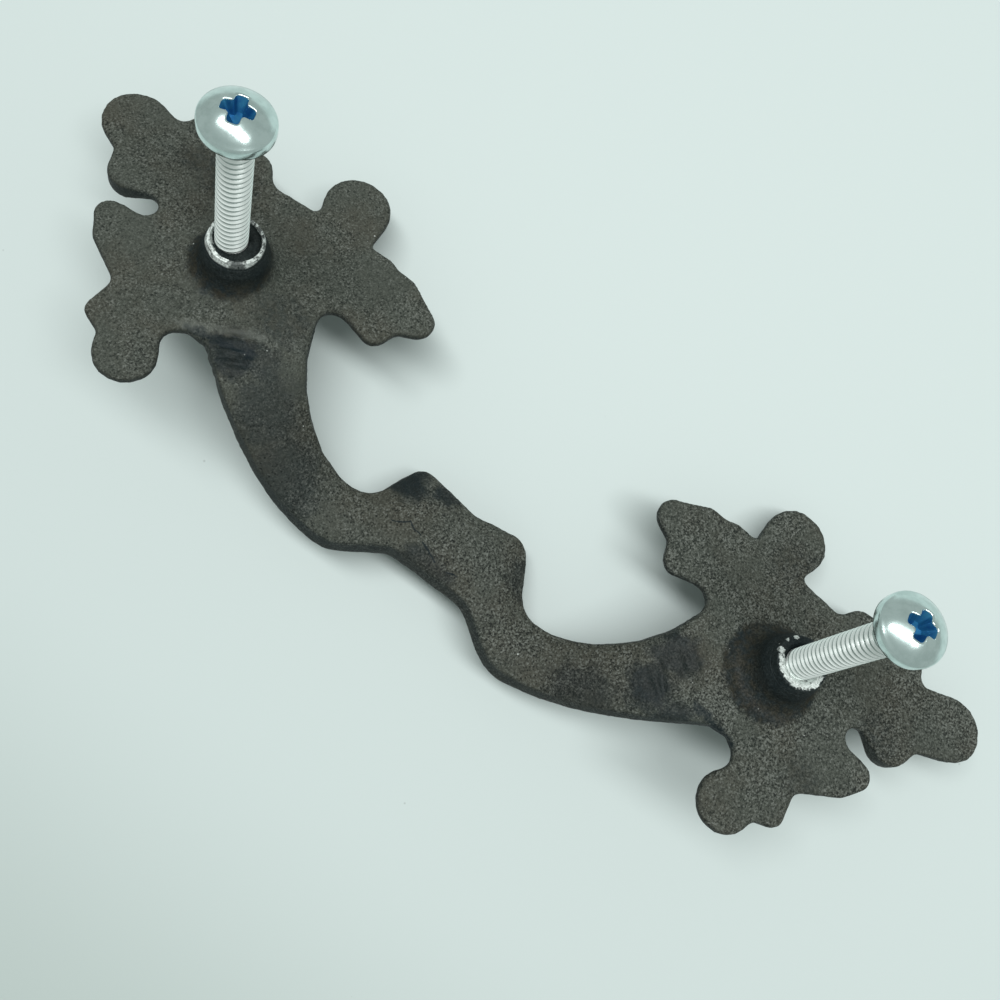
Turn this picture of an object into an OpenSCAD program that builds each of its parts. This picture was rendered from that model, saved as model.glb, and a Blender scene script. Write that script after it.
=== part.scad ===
// Cast-iron bow handle with a leaf-shaped foot at each end and a tapped boss behind each leaf.
// The flat back of the leaves lies in the plane z = 0. The screws stand along +Z, the grip is
// bowed out along -Z, and the origin is midway between the two screws.

/* [Fixing] */
// Distance between the two screws
screw_spacing = 85; // [83:0.5:128]
// Nominal diameter of the screw's thread
thread_d = 4; // [3:0.5:5]
// Gap all round between the screw's shank and its tapped hole
thread_play = 0.05; // [0.02:0.01:0.1]
// Length of the screw below its head
screw_l = 25; // [16:1:40]
// How far the screw is turned into its boss
engaged_l = 5.5; // [4:0.5:6]
// Depth of the tapped hole below the top of the boss
hole_depth = 6.8; // [6:0.1:7.4]
// How far the left hole sits outwards from the middle of its boss
left_hole_shift = 0.7; // [0:0.1:0.7]
// Height of the chamfer at the tip of the screw
tip_chamfer = 0.5; // [0.2:0.1:1]
// Turn of the left screw's cross recess, in degrees
left_screw_turn = 20; // [0:1:90]
// Turn of the right screw's cross recess, in degrees
right_screw_turn = 5; // [0:1:90]

/* [Screw head] */
// Diameter of the pan head
head_d = 8.2; // [6.5:0.1:10]
// Height of the head, from its underside to the crown
head_h = 3.1; // [2.4:0.1:4]
// Height of the straight side of the head
head_side_h = 1.3; // [0.6:0.1:2]
// Width across the arms of the cross recess
recess_w = 4.4; // [3:0.1:5]
// Width of one arm of the cross recess
recess_slot_w = 1.15; // [0.6:0.05:1.6]
// Depth of the cross recess below the crown
recess_depth = 1.9; // [1:0.1:2.2]

/* [Boss] */
// Height of the boss above the back of the leaf
boss_h = 5.5; // [5:0.1:8]
// Diameter of the boss at its top
boss_top_d = 7.2; // [6.8:0.1:9]
// Diameter of the foot of the boss, where it flares into the leaf
boss_foot_d = 13; // [10:0.1:14]
// How far the right boss stands above the line of the handle through the left one
right_boss_rise = 0.4; // [0:0.1:1]
// Diameter of the recess round the left hole, at the top of its boss
left_mouth_d = 5.8; // [5.6:0.1:6]
// Depth of that recess
left_mouth_depth = 0.7; // [0.3:0.1:2]
// Diameter of the chamfered mouth of the right hole
right_mouth_d = 4.8; // [4.6:0.1:6]
// Depth of that chamfer
right_mouth_depth = 0.35; // [0.2:0.05:0.8]

/* [Leaf] */
// Thickness of the leaf
leaf_t = 2.6; // [2:0.1:4]
// Distance from the screw to the middle of the outer lobe, right leaf
right_outer_reach = 25.6; // [23.2:0.1:28]
// Distance from the screw to the middle of the outer lobe, left leaf
left_outer_reach = 23.1; // [22.9:0.1:28]
// Radius of the outer lobe
outer_lobe_r = 4.45; // [4:0.05:4.6]
// Radius of the upper lobe
upper_lobe_r = 4.6; // [4:0.05:4.7]
// Radius of the lower lobe
lower_lobe_r = 3.9; // [3:0.05:4]
// Radius of the small lobe beside the notch
notch_lobe_r = 2.9; // [2.4:0.05:3.2]
// How far the front of that lobe curls forward beyond the leaf's
curl_h = 0.8; // [0:0.1:1.5]

/* [Grip] */
// Drop from the back of the leaves to the back of the grip, at its lowest
arch_drop = 11.3; // [6:0.1:20]
// How far the middle of the grip rises again from that drop
middle_rise = 2; // [0:0.1:4]
// Thickness of the grip, back to front
grip_t = 6.5; // [5.5:0.1:9]
// Distance from the screws' line down to the lowest edge of the grip
grip_sag = 18.5; // [17:0.1:18.8]
// Distance from the middle of the grip to where its lower edge starts to rise, right bow
right_bow_x = 12.6; // [11:0.2:16]
// The same distance, left bow
left_bow_x = 16; // [11:0.2:17]
// Distance from the middle of the grip to the knot on its upper edge, right knot
right_knot_x = 6.8; // [6:0.1:7.2]
// The same distance, left knot
left_knot_x = 8; // [6:0.1:8.4]
// Radius of the right knot
right_knot_r = 3.4; // [3:0.05:3.8]
// Radius of the left knot
left_knot_r = 2.8; // [2.4:0.05:3.8]
// Extra thickness along the middle of the front of the grip
ridge_h = 0.5; // [0:0.1:1.5]
// Crown along the middle of the back of the grip
back_crown = 0.35; // [0:0.05:1]

/* [Hidden] */
$fn = 48;
half_spacing = screw_spacing / 2;
left_boss = [-half_spacing, 0, 0];
right_boss = [half_spacing, right_boss_rise, 0];
// Height of the tops of the knots across the handle
knot_top = -1.2;
// Length of outline and turn of outline that one flat covers at most
flat_l = 4;
flat_turn = 20;
// Largest turn against its own direction that a circle of the outline may make, in degrees
back_turn = 10;
// Stations along half of the grip
stations = 30;
// Depth to which the boss is let into the leaf
boss_sunk = 1;
// Share of the half grip, measured from its middle, that is level with the floor of the arch
level_share = 0.45;
// Share of the half grip, measured from its root, over which its section changes
change_share = 0.25;
iron = [0.27, 0.245, 0.225];
zinc = [0.78, 0.8, 0.8];

// Outline circles are [x, y, radius]. The outline runs round them anticlockwise like a belt:
// outside a lobe, and inside a bay, whose radius is negative.

// The heading, in degrees, of the belt's straight run from circle a to circle b
function heading(a, b) =
    let (run = [b.x - a.x, b.y - a.y])
    atan2(run.y, run.x) + asin((a.z - b.z) / norm(run));

// The turn from heading h1 to heading h2, to the left at a lobe and to the right at a bay
function turn(h1, h2, r) =
    let (left = ((h2 - h1) % 360 + 360) % 360)
    r > 0 ? (left > 360 - back_turn ? left - 360 : left) : (left < back_turn ? left : left - 360);

// A belt point is [x, y, outward normal x, outward normal y]
function belt_point(c, h) = [c.x + c.z * sin(h), c.y - c.z * cos(h), sin(h), -cos(h)];

// The belt's points round circle c, which lies between circles before and after
function arc_points(before, c, after) =
    let (
        h1 = heading(before, c),
        sweep = turn(h1, heading(c, after), c.z),
        flats = max(1, ceil(abs(sweep) / flat_turn), ceil(abs(sweep * c.z) * PI / 180 / flat_l))
    )
    [for (i = [0 : flats]) belt_point(c, h1 + sweep * i / flats)];

// The belt's points round the circles from index first to index last of the row
function belt(row, first, last) =
    [for (i = [first : last]) each arc_points(row[i - 1], row[i], row[i + 1])];

function moved(row, dx) = [for (c = row) [c.x + dx, c.y, c.z]];

// The middle of the lobe beside the notch, measured from the screw
notch_lobe = [17.6, 1.8];
// Distance from that lobe over which its curl fades out
curl_fade = 1.5;

// The bay between the leaf's inner lobe and the grip's upper edge, measured from the screw
last_bay = [-14.2, 1.4, -1.9];

// Circles of one leaf, from its lower root round to its upper root, measured from the screw
function leaf_circles(outer_reach) = [
    [-2, -13.05, -1.9],
    [1.8, -17.6, lower_lobe_r],
    [6.55, -18.35, -0.8],
    [7.5, -15.3, 1.8],
    [10.6, -12.3, -1.5],
    [13.7, -7.1, 1.6],
    [15.1, -4.6, 2.1],
    [13.1, -0.75, -1.4],
    [notch_lobe.x, notch_lobe.y, notch_lobe_r],
    [21.8, 2.3, -0.8],
    [outer_reach * cos(20), outer_reach * sin(20), outer_lobe_r],
    [18.8, 13.1, -1.3],
    [14, 13.9, 3],
    [10.6, 17.2, -1.6],
    [7.3, 12.8, 2.6],
    [3, 14.4, -1.8],
    [-1.8, 13.9, -0.7],
    [-6, 17.4, upper_lobe_r],
    [-11.4, 14.7, -0.6],
    [-13.8, 12.8, 1.5],
    [-15.6, 15, -1.2],
    [-17.6, 11.9, 2],
    [-20.8, 14.2, -1.6],
    [-21.6, 9.3, 2.5],
    [-21.7, 5.2, -1.1],
    [-18.2, 4.5, 2.1],
    last_bay
];

// Radius of a circle that starts level at its lowest point and passes through a point
// across and up from there
function sweep_r(across, up) = (across * across + up * up) / (2 * up);

// Circles of one half of the grip's lower edge, from the middle outwards
lower_root = [half_spacing - 3, -13, -2.4];
// Gap that keeps the sweep clear of the root's circle
root_gap = 0.75;
function lower_row(bow_x) =
    let (bow_r = sweep_r(lower_root.x - bow_x, grip_sag + lower_root.y - lower_root.z + root_gap))
    [
        [-5.2, 1.8 - grip_sag, -2.6],
        [0, 10.2 - grip_sag, 6],
        [5.2, 1.8 - grip_sag, -2.6],
        [14.5, 6 - grip_sag, 6],
        [bow_x, bow_r - grip_sag, bow_r],
        lower_root
    ];

// Circles of one half of the grip's upper edge, from the root inwards and on to the other half's
// knot. Its sweep is level at the foot of the valley beside the knot, and reaches the side of the
// leaf's last bay.
valley = [15.6, -5.3, -4.1];
upper_sweep_x = valley.x + 1.4;
valley_y = valley.y + valley.z;
upper_sweep_r = sweep_r(half_spacing + last_bay.x - last_bay.z - upper_sweep_x, last_bay.y - valley_y);
function upper_row(knot_x, knot_r, other_knot_x, other_knot_r) = [
    [upper_sweep_x, valley_y + upper_sweep_r, -upper_sweep_r],
    valley,
    [knot_x, knot_top - knot_r, knot_r],
    [0, 0.6, -3.4],
    [-other_knot_x, knot_top - other_knot_r, other_knot_r]
];

// Half of the whole outline, with the circles before and after it. The left half is drawn mirrored.
right_row = concat(
    lower_row(right_bow_x),
    moved(leaf_circles(right_outer_reach), half_spacing),
    upper_row(right_knot_x, right_knot_r, left_knot_x, left_knot_r)
);
left_row = concat(
    lower_row(left_bow_x),
    moved(leaf_circles(left_outer_reach), half_spacing),
    upper_row(left_knot_x, left_knot_r, right_knot_x, right_knot_r)
);
leaf_first = len(lower_row(right_bow_x));
leaf_last = leaf_first + len(leaf_circles(right_outer_reach)) - 1;

// Each half's edges and leaf, right half first
rows = [right_row, left_row];
lower_edges = [for (row = rows) belt(row, 1, leaf_first - 1)];
upper_edges = [for (row = rows) belt(row, leaf_last + 1, leaf_last + 4)];
leaves = [for (row = rows) belt(row, leaf_first, leaf_last)];

// The two ends of a half's root line, where the grip springs from the leaf
function last_of(points) = points[len(points) - 1];
function root_lower(half) = last_of(lower_edges[half]);
function root_upper(half) = last_of(leaves[half]);

// The edge's point at distance x from the middle: height and outward normal are read off the belt
function edge_point(edge, x) =
    [x, for (i = [1 : 3]) lookup(x, [for (p = edge) [p.x, p[i]]])];
function mirrored(p) = [-p.x, p.y, -p[2], p[3]];

// Station s of a half runs from 0 in the middle of the grip to 1 at the root
function upper_station(half, s) =
    edge_point([each upper_edges[half], root_upper(half)], s * root_upper(half).x);
function lower_station(half, s) =
    let (run = root_lower(half).x - root_upper(half).x)
    edge_point(lower_edges[half], s * root_upper(half).x + pow(s, 3) * run);

// Drop of the grip's back below the leaves' back at station s
function drop(s) =
    let (
        fall = min(1, (1 - s) / (1 - level_share)),
        rise = min(1, s / level_share)
    )
    arch_drop * pow(sin(90 * fall), 1.5) - middle_rise * (1 + cos(180 * rise)) / 2;

// How far the section has changed from the leaf's, 0, to the grip's, 1
function change(s) = min(1, sqrt((1 - s) / change_share));

// Edge sections as [inset from the outline, depth below the back], back to front
leaf_section = [[0.35, 0], [0, 0.35], [0, leaf_t - 1.5], [0.45, leaf_t - 0.7], [1.3, leaf_t]];
curl_section = [
    [0.35, 0],
    [0, 0.35],
    [0, leaf_t - 0.8],
    [0.1, leaf_t - 0.3 + curl_h / 2],
    [1, leaf_t + curl_h]
];
grip_section = [
    [1.9, 0],
    [0.5, 0.7],
    [0, grip_t * 0.45],
    [0.9, grip_t * 0.78],
    [2.3, grip_t]
];
rings = len(leaf_section);

// How far the edge at outline point p has the section of the curled lobe beside the notch,
// from 0 to 1
function curl(p) =
    let (away = norm([abs(p.x) - half_spacing, p.y] - notch_lobe) - notch_lobe_r)
    max(0, 1 - max(0, away) / curl_fade);

// The point of ring j beside outline point p, at station s
function ring_point(p, j, s) =
    let (
        k = change(s),
        c = curl(p),
        edge = leaf_section[j] * (1 - c) + curl_section[j] * c,
        section = edge * (1 - k) + grip_section[j] * k
    )
    [p.x - p[2] * section.x, p.y - p[3] * section.x, -drop(s) - section.y];

// One whole ring, anticlockwise from the lower edge's left root
function ring(j) = concat(
    [for (i = [stations : -1 : 1]) ring_point(mirrored(lower_station(1, i / stations)), j, i / stations)],
    [for (i = [0 : stations]) ring_point(lower_station(0, i / stations), j, i / stations)],
    [for (i = [1 : len(leaves[0]) - 2]) ring_point(leaves[0][i], j, 1)],
    [for (i = [stations : -1 : 0]) ring_point(upper_station(0, i / stations), j, i / stations)],
    [for (i = [1 : stations]) ring_point(mirrored(upper_station(1, i / stations)), j, i / stations)],
    [for (i = [len(leaves[1]) - 2 : -1 : 1]) ring_point(mirrored(leaves[1][i]), j, 1)]
);

// The line along the middle of the grip's face on ring j, raised by crown
function spine(j, crown) = [
    for (i = [-stations : stations])
        let (
            s = abs(i) / stations,
            half = i < 0 ? 1 : 0,
            upper = ring_point(upper_station(half, s), j, s),
            lower = ring_point(lower_station(half, s), j, s),
            middle = (upper + lower) / 2
        )
        [(i < 0 ? -1 : 1) * middle.x, middle.y, middle.z + crown * change(s)]
];

// Twice the area of the triangle a, b, c, positive when it runs anticlockwise
function twice_area(a, b, c) = (b.x - a.x) * (c.y - a.y) - (b.y - a.y) * (c.x - a.x);
function holds(a, b, c, p) =
    twice_area(a, b, p) >= 0 && twice_area(b, c, p) >= 0 && twice_area(c, a, p) >= 0;

// Whether the corner at place i of a loop of point numbers can be cut off as a triangle
function is_ear(points, loop, i) =
    let (
        n = len(loop),
        a = loop[(i + n - 1) % n],
        b = loop[i],
        c = loop[(i + 1) % n]
    )
    twice_area(points[a], points[b], points[c]) > 0
    && len([
        for (k = loop)
            if (k != a && k != b && k != c && holds(points[a], points[b], points[c], points[k])) k
    ]) == 0;
function next_ear(points, loop, i) =
    is_ear(points, loop, i % len(loop)) ? i % len(loop) : next_ear(points, loop, i + 1);

// A flat face, given as an anticlockwise loop of point numbers, cut into triangles ear by ear
function triangles(points, loop, from = 0, done = []) =
    len(loop) == 3
        ? [each done, loop]
        : let (
            n = len(loop),
            i = next_ear(points, loop, from),
            ear = [loop[(i + n - 1) % n], loop[i], loop[(i + 1) % n]]
        )
        triangles(points, [for (k = [0 : n - 1]) if (k != i) loop[k]], i + 1, [each done, ear]);

// The casting's skin: rings joined by quads, a strip of quads along the grip's two faces,
// and one flat face on each side of each leaf
module skin() {
    strip = 2 * stations;
    ring_n = len(ring(0));
    right_n = len(leaves[0]) - 2;
    // Places in a ring where the lower edge, right leaf, upper edge and left leaf begin
    right_from = strip + 1;
    upper_from = right_from + right_n;
    left_from = upper_from + strip + 1;
    last = (rings - 1) * ring_n;
    back_spine = rings * ring_n;
    front_spine = back_spine + strip + 1;
    points = concat(
        [for (j = [0 : rings - 1]) each ring(j)],
        spine(0, back_crown),
        spine(rings - 1, -ridge_h)
    );
    sides = [
        for (j = [0 : rings - 2], i = [0 : ring_n - 1])
            let (
                a = j * ring_n + i,
                b = j * ring_n + (i + 1) % ring_n
            )
            each [[a, b, b + ring_n], [a, b + ring_n, a + ring_n]]
    ];
    // Faces of the grip between the lower edge, the spine and the upper edge
    faces = [
        for (i = [0 : strip - 1])
            let (u = upper_from + strip - i)
            each [
                [i, back_spine + i, back_spine + i + 1], [i, back_spine + i + 1, i + 1],
                [back_spine + i, u, u - 1], [back_spine + i, u - 1, back_spine + i + 1],
                [last + i, last + i + 1, front_spine + i + 1],
                [last + i, front_spine + i + 1, front_spine + i],
                [front_spine + i, front_spine + i + 1, last + u - 1],
                [front_spine + i, last + u - 1, last + u]
            ]
    ];
    right_loop = [for (i = [strip : upper_from]) i];
    left_loop = [for (i = [left_from - 1 : ring_n]) i % ring_n];
    backs = [
        each triangles(points, [each right_loop, back_spine + strip]),
        each triangles(points, [each left_loop, back_spine])
    ];
    fronts = [
        each triangles(points, [for (i = right_loop) last + i, front_spine + strip]),
        each triangles(points, [for (i = left_loop) last + i, front_spine])
    ];
    polyhedron(points, concat(sides, faces, fronts, [for (t = backs) [t[2], t[1], t[0]]]));
}

// A round boss that flares into the leaf, standing on the leaf's back at the origin
module boss() {
    foot_r = boss_foot_d / 2;
    top_r = boss_top_d / 2;
    neck_r = top_r + 0.7;
    flare_h = boss_h * 0.55;
    toe_r = foot_r + 0.4;
    rim = 0.3;
    rotate_extrude()
        polygon(concat(
            [[0, -boss_sunk], [toe_r, -boss_sunk], [toe_r, -0.15]],
            [for (a = [15 : 15 : 90]) [neck_r + (foot_r - neck_r) * (1 - sin(a)), flare_h * (1 - cos(a))]],
            [[top_r, boss_h - rim], [top_r - rim, boss_h], [0, boss_h]]
        ));
}

// The tapped hole, cut from the top of the boss, with its mouth in the middle of the boss
module tapped_hole(shift, mouth_d, mouth_depth, mouth_floor_d) {
    translate([shift, 0, boss_h - hole_depth])
        cylinder(h = hole_depth + 1, r = thread_d / 2 + thread_play);
    translate([0, 0, boss_h - mouth_depth])
        cylinder(h = mouth_depth + 0.01, d1 = mouth_floor_d, d2 = mouth_d);
}

module handle_casting() {
    color(iron)
        difference() {
            union() {
                skin();
                translate(left_boss) boss();
                translate(right_boss) boss();
            }
            translate(left_boss)
                tapped_hole(-left_hole_shift, left_mouth_d, left_mouth_depth, left_mouth_d - 0.4);
            translate(right_boss)
                tapped_hole(0, right_mouth_d, right_mouth_depth, thread_d + 2 * thread_play);
        }
}

// A pan-head machine screw, with the underside of its head at the origin and its shank below
module screw() {
    head_r = head_d / 2;
    shank_r = thread_d / 2;
    dome_h = head_h - head_side_h;
    fillet = 0.3;
    rim = 0.15;
    difference() {
        rotate_extrude()
            polygon(concat(
                [[0, -screw_l], [shank_r - tip_chamfer, -screw_l], [shank_r, tip_chamfer - screw_l]],
                [[shank_r, -fillet], [shank_r + fillet, 0], [head_r - rim, 0], [head_r, rim]],
                [for (a = [0 : 10 : 90]) [head_r * cos(a), head_side_h + dome_h * sin(a)]]
            ));
        translate([0, 0, head_h - recess_depth])
            intersection() {
                for (turned = [0, 90])
                    rotate(turned)
                        translate([-recess_w / 2, -recess_slot_w / 2, 0])
                            cube([recess_w, recess_slot_w, recess_depth + 1]);
                cylinder(h = recess_depth + 1, r1 = recess_slot_w, r2 = recess_w / 2 + 0.6);
            }
    }
}

module mounted_screw(at, turned) {
    color(zinc)
        translate(at + [0, 0, boss_h - engaged_l + screw_l])
            rotate(turned) screw();
}

module left_screw() {
    mounted_screw(left_boss - [left_hole_shift, 0, 0], left_screw_turn);
}

module right_screw() {
    mounted_screw(right_boss, right_screw_turn);
}

handle_casting();
left_screw();
right_screw();
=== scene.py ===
# %% [markdown]
# # A cast-iron cabinet handle
# The handle is one casting: a bowed grip with a leaf at each end, and a boss behind each leaf that
# holds a zinc-plated screw. It lies on its face, so the camera sees its back. This lesson loads the
# handle's solids, roughens the casting as sand does, cuts real threads, and mixes the finishes.

# %% Load the solids
import math

import bmesh
import bpy
from mathutils import Matrix, Vector, noise


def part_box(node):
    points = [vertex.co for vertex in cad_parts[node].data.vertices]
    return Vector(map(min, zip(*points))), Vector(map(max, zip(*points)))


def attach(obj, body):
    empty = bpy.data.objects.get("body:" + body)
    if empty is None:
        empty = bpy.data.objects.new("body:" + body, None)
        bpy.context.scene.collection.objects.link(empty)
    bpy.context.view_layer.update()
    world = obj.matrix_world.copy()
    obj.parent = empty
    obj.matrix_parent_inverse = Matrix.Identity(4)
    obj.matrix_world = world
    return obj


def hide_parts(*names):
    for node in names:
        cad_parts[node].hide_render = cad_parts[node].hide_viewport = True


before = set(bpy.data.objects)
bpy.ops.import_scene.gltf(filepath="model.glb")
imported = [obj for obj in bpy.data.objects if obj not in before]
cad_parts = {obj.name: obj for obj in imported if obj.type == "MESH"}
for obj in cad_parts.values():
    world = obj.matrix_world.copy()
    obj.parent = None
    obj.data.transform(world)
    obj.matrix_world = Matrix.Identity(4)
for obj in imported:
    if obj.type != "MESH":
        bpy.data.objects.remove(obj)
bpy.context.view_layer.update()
MM = 0.001

# %% [markdown]
# ## Camera
# The photograph looks straight down on a table, and the handle lies askew on it. The handle keeps
# its own frame here, so the camera takes the tilt instead. A lens as long as the sensor is wide
# gives the photograph's field of view.

# %% Make the camera
CAMERA_PLACE = Vector((-2.1, -55.4, 112)) * MM
CAMERA_TURN = [math.radians(angle) for angle in (19.29, -15.71, 33.96)]
camera_data = bpy.data.cameras.new("photo_camera")
camera_data.lens = 36
camera_data.sensor_width = 36
camera_data.clip_start = 0.01
camera = bpy.data.objects.new("photo_camera", camera_data)
camera.location = CAMERA_PLACE
camera.rotation_euler = CAMERA_TURN
bpy.context.scene.collection.objects.link(camera)
bpy.context.scene.camera = camera

camera_axes = camera.rotation_euler.to_matrix()
to_right = camera_axes.col[0]
to_top = camera_axes.col[1]
to_camera = camera_axes.col[2]
print("The camera looks along", [round(value, 3) for value in -to_camera])

# %% [markdown]
# ## Shader helpers
# A material is a tree of nodes. These helpers place a node with its settings, join its sockets, and
# do the usual sums, steps and mixes, so that each material below reads as a short list of steps.


# %% Place and join nodes
def place(tree, kind, settings=None, inputs=None):
    """Add a node, set its properties, and set or link its inputs by name or number."""
    node = tree.nodes.new(kind)
    for name, value in (settings or {}).items():
        setattr(node, name, value)
    for name, value in (inputs or {}).items():
        if isinstance(value, bpy.types.NodeSocket):
            tree.links.new(value, node.inputs[name])
        else:
            node.inputs[name].default_value = value
    return node


def maths(tree, operation, first, second=0.0, third=0.0):
    """One Math node, whose inputs are numbers or sockets."""
    settings = {"operation": operation}
    return place(tree, "ShaderNodeMath", settings, {0: first, 1: second, 2: third}).outputs[0]


def chain(tree, operation, values):
    """The largest or the smallest of several values, by a row of Math nodes."""
    result = values[0]
    for value in values[1:]:
        result = maths(tree, operation, result, value)
    return result


def vector_maths(tree, operation, first, second):
    """One Vector Math node, whose inputs and result are vectors."""
    settings = {"operation": operation}
    return place(tree, "ShaderNodeVectorMath", settings, {0: first, 1: second}).outputs["Vector"]


def scaled(tree, vector, factor):
    """A vector times a number."""
    inputs = {0: vector, "Scale": factor}
    return place(tree, "ShaderNodeVectorMath", {"operation": "SCALE"}, inputs).outputs["Vector"]


def length_of(tree, vector):
    """The length of a vector."""
    return place(tree, "ShaderNodeVectorMath", {"operation": "LENGTH"}, {0: vector}).outputs["Value"]


def ramp(tree, value, low, high, start=0.0, end=1.0):
    """A smooth step from start to end as the value goes from low to high."""
    settings = {"interpolation_type": "SMOOTHSTEP"}
    inputs = {"Value": value, "From Min": low, "From Max": high, "To Min": start, "To Max": end}
    return place(tree, "ShaderNodeMapRange", settings, inputs).outputs["Result"]


def mix_colour(tree, factor, first, second):
    """Mix two colours, each a socket or a tuple."""
    node = place(tree, "ShaderNodeMix", {"data_type": "RGBA"}, {"Factor": factor})
    for socket, value in (("A_Color", first), ("B_Color", second)):
        target = next(item for item in node.inputs if item.identifier == socket)
        if isinstance(value, bpy.types.NodeSocket):
            tree.links.new(value, target)
        else:
            target.default_value = (*value, 1)
    return next(item for item in node.outputs if item.identifier == "Result_Color")


def mix_value(tree, factor, first, second):
    """Mix two values, each a socket or a number."""
    settings = {"data_type": "FLOAT"}
    node = place(tree, "ShaderNodeMix", settings, {0: factor, 2: first, 3: second})
    return node.outputs[0]


def new_material(name):
    """A material with its tree, its Principled shader and the point in millimetres."""
    material = bpy.data.materials.new(name)
    material.use_nodes = True
    tree = material.node_tree
    tree.nodes.clear()
    shader = place(tree, "ShaderNodeBsdfPrincipled")
    place(tree, "ShaderNodeOutputMaterial", None, {"Surface": shader.outputs["BSDF"]})
    coordinates = place(tree, "ShaderNodeTexCoord").outputs["Object"]
    in_mm = {"Vector": coordinates, "Scale": (1 / MM, 1 / MM, 1 / MM)}
    point = place(tree, "ShaderNodeMapping", None, in_mm).outputs["Vector"]
    return material, tree, shader, point


def add_bump(tree, shader, height, strength, depth):
    """Tilt the shader's normals as a height from 0 to 1 says, whose full depth is in metres."""
    inputs = {"Strength": strength, "Distance": depth, "Height": height}
    bump = place(tree, "ShaderNodeBump", None, inputs)
    tree.links.new(bump.outputs["Normal"], shader.inputs["Normal"])


# %% [markdown]
# ## Sand-cast grain
# Iron poured into sand takes the print of the grains: a salt-and-pepper speckle about a quarter of a
# millimetre across, with a few deeper pits. The grip needs it coarser than the leaves, so it is a
# node group. Noise alone would draw worms when it is sharpened, so Voronoi cells are mixed in, one
# grey for each, and the pits are larger cells with a size of their own.

# %% Build the grain group
# Inside the group all sizes are in grains
CELLS_TO_A_GRAIN = 1.2
CELL_SHARE = 0.2
PIT_SIZE = 1.5
PIT_DEPTH = 0.45


def noise_at(tree, point, size, detail=2.0, roughness=0.5):
    """Noise whose lumps are about size millimetres across. Most of it lies between 0.3 and 0.7."""
    inputs = {"Vector": point, "Scale": 1 / size, "Detail": detail, "Roughness": roughness}
    return place(tree, "ShaderNodeTexNoise", None, inputs).outputs["Fac"]


def spots(tree, point, size, smallest, largest, soft=0.16):
    """Round spots, one in each cell about size wide, their radii and soft edge as shares of it.

    Radii go by chance from smallest to largest, and one below zero leaves its cell empty.
    """
    cells = place(tree, "ShaderNodeTexVoronoi", None, {"Vector": point, "Scale": 1 / size}).outputs
    chance = place(tree, "ShaderNodeSeparateColor", None, {"Color": cells["Color"]}).outputs["Red"]
    radius = ramp(tree, chance, 0.0, 1.0, smallest, largest)
    reach = maths(tree, "SUBTRACT", radius, cells["Distance"])
    return ramp(tree, reach, 0.0, soft)


def make_grain_group():
    """A node group that gives the height, speckle and pits of grain of any size."""
    group = bpy.data.node_groups.new("sand_cast_grain", "ShaderNodeTree")
    group.interface.new_socket("Point", in_out="INPUT", socket_type="NodeSocketVector")
    group.interface.new_socket("Grain size", in_out="INPUT", socket_type="NodeSocketFloat")
    for name in ("Height", "Speckle", "Pits"):
        group.interface.new_socket(name, in_out="OUTPUT", socket_type="NodeSocketFloat")
    given = group.nodes.new("NodeGroupInput").outputs
    point = scaled(group, given["Point"], maths(group, "DIVIDE", 1.0, given["Grain size"]))
    inputs = {"Vector": point, "Scale": CELLS_TO_A_GRAIN}
    cells = place(group, "ShaderNodeTexVoronoi", None, inputs).outputs
    chance = place(group, "ShaderNodeSeparateColor", None, {"Color": cells["Color"]}).outputs["Green"]
    lumps = noise_at(group, point, size=1.0, detail=2.5, roughness=0.72)
    speckle = mix_value(group, CELL_SHARE, lumps, chance)
    pits = spots(group, point, size=PIT_SIZE, smallest=-0.3, largest=0.4)
    height = maths(group, "MULTIPLY_ADD", pits, -PIT_DEPTH, speckle)
    place(group, "NodeGroupOutput", None, {"Height": height, "Speckle": speckle, "Pits": pits})
    return group


grain_group = make_grain_group()


def grain(tree, point, size):
    """The height, speckle and pits of grain of one size, in millimetres."""
    inputs = {"Point": point, "Grain size": size}
    outputs = place(tree, "ShaderNodeGroup", {"node_tree": grain_group}, inputs).outputs
    return outputs["Height"], outputs["Speckle"], outputs["Pits"]


print("The grain group has", len(grain_group.nodes), "nodes")

# %% [markdown]
# ## Where things are
# The finish changes from place to place: the coat is thick and black on the sides of the bosses and
# in a few patches, a few patches by the left root are painted shade, and the tops of the bosses are
# rubbed to bare metal. Each place is found by its distance from a point, an axis or a line, with
# noise added so that its edge is ragged.

# %% Read the places of the bosses and holes
SIDES = ("left", "right")
LEFT_HOLE_SHIFT = 0.7
screw_boxes = {side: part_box(side + "_screw") for side in SIDES}
hole_places = {side: (low + high) / 2 / MM for side, (low, high) in screw_boxes.items()}
boss_places = {side: middle.copy() for side, middle in hole_places.items()}
boss_places["left"].x += LEFT_HOLE_SHIFT
BOSS_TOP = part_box("handle_casting")[1].z / MM
for side, middle in boss_places.items():
    print("The", side, "boss stands at", round(middle.x, 2), round(middle.y, 2), "mm")


def far_from(tree, point, place_xy, ragged=0.0, lumps=2.2):
    """Distance in plan from a place, in millimetres, give or take half of ragged in lumps."""
    centred = vector_maths(tree, "SUBTRACT", point, (*place_xy, 0))
    length = length_of(tree, vector_maths(tree, "MULTIPLY", centred, (1, 1, 0)))
    if not ragged:
        return length
    wobble = maths(tree, "SUBTRACT", noise_at(tree, point, lumps, 4.0, 0.65), 0.5)
    return maths(tree, "MULTIPLY_ADD", wobble, ragged, length)


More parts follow.
